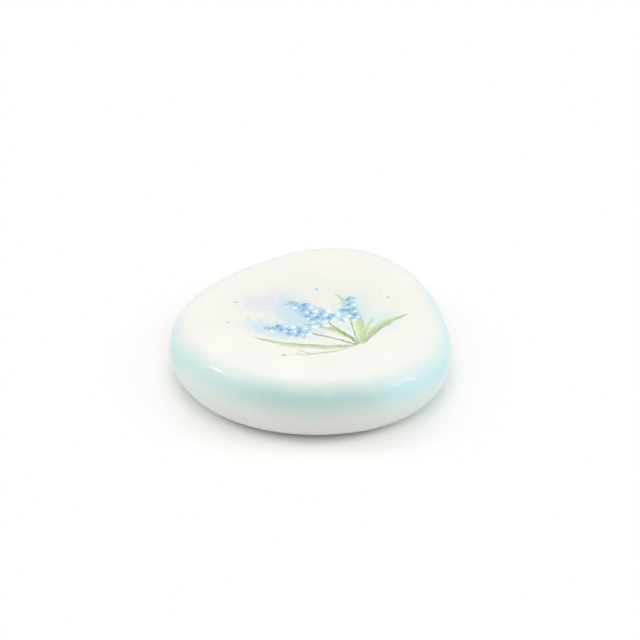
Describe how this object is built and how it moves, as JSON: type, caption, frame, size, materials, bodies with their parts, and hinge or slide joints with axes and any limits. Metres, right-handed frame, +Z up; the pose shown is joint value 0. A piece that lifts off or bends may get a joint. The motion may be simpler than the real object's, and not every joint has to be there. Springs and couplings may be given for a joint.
{
  "type": "cutlery rest",
  "caption": "Rounded-triangular glazed porcelain pebble with a dished top, a bullnose side, a bare foot ring and a hollow underside, which keeps knives, forks and spoons off the table.",
  "frame": {"origin": "on the table, under the middle of the overall width and depth", "axes": "+X along the width, +Y along the depth and away from the picture's viewer, +Z up"},
  "size_m": [0.07, 0.0664, 0.016],
  "materials": {
    "porcelain": "matte",
    "painted_glaze": "polished",
    "plain_glaze": "polished"
  },
  "bodies": {
    "root": {"porcelain_body": "porcelain", "outer_glaze": "painted_glaze", "inner_glaze": "plain_glaze"}
  },
  "joints": []
}
